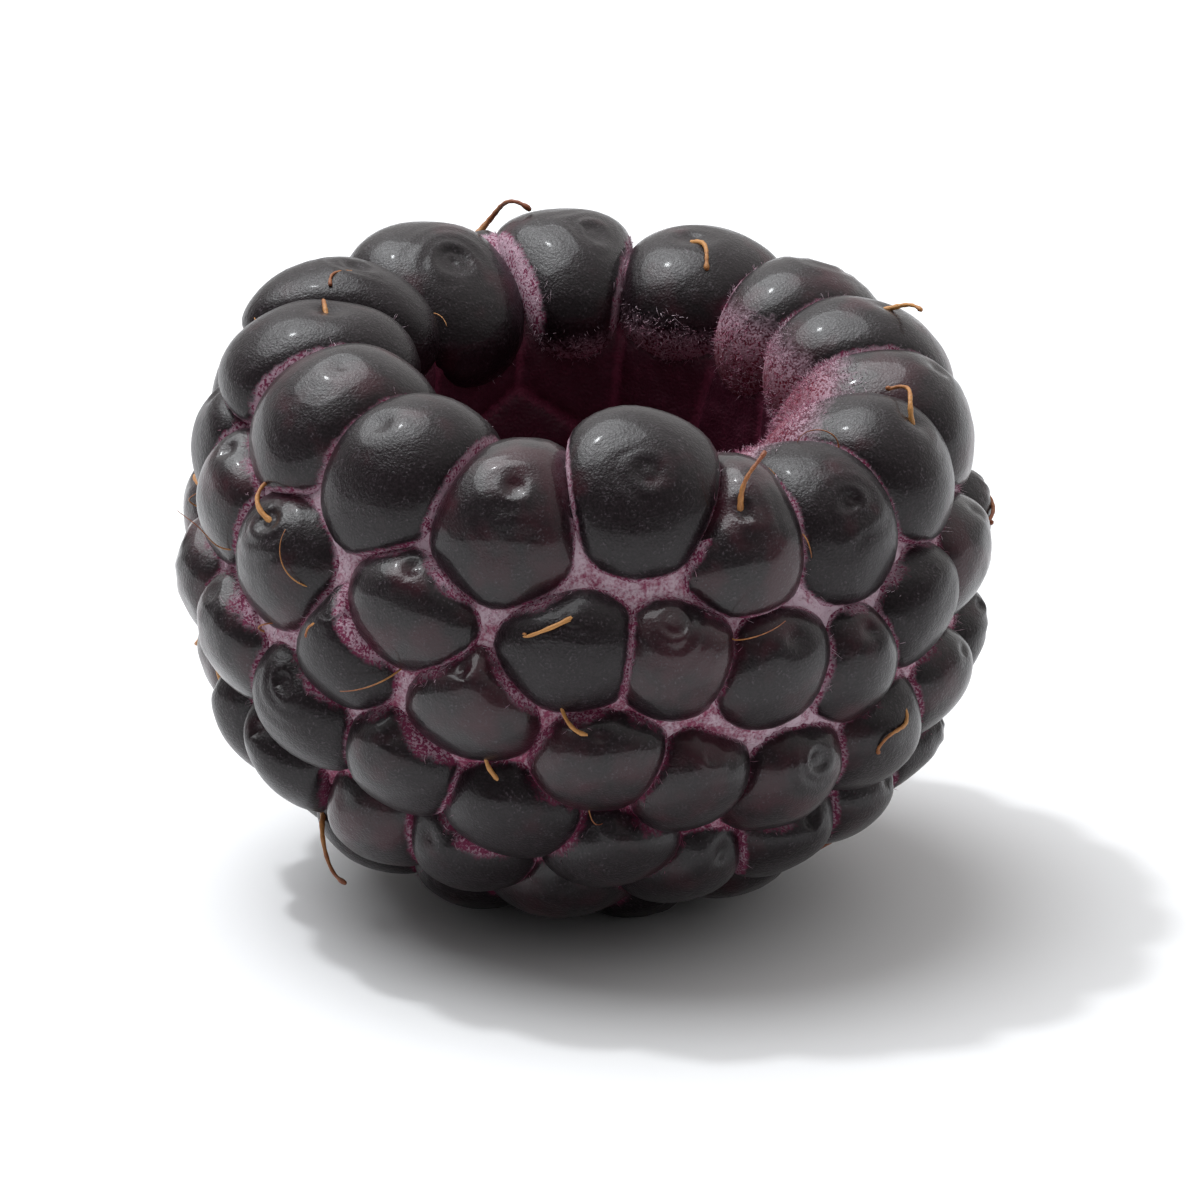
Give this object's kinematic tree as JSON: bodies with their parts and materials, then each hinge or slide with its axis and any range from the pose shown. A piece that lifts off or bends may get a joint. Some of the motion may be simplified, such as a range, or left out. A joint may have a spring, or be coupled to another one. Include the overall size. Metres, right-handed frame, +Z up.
{
  "type": "black raspberry",
  "caption": "Picked black raspberry: a soft hollow cap of fused dark drupelets, resting on its tip with its mouth up.",
  "frame": {"origin": "middle of the berry's box at its base, on the surface that it rests on", "axes": "+Z up, out of the berry's mouth; -Y is the side that the picture shows; +X is to the right in it"},
  "size_m": [0.0162, 0.0162, 0.0122],
  "materials": {
    "berry_skin": "near-black purple skin with a soft gloss"
  },
  "bodies": {
    "root": {"berry": "berry_skin"}
  },
  "joints": []
}
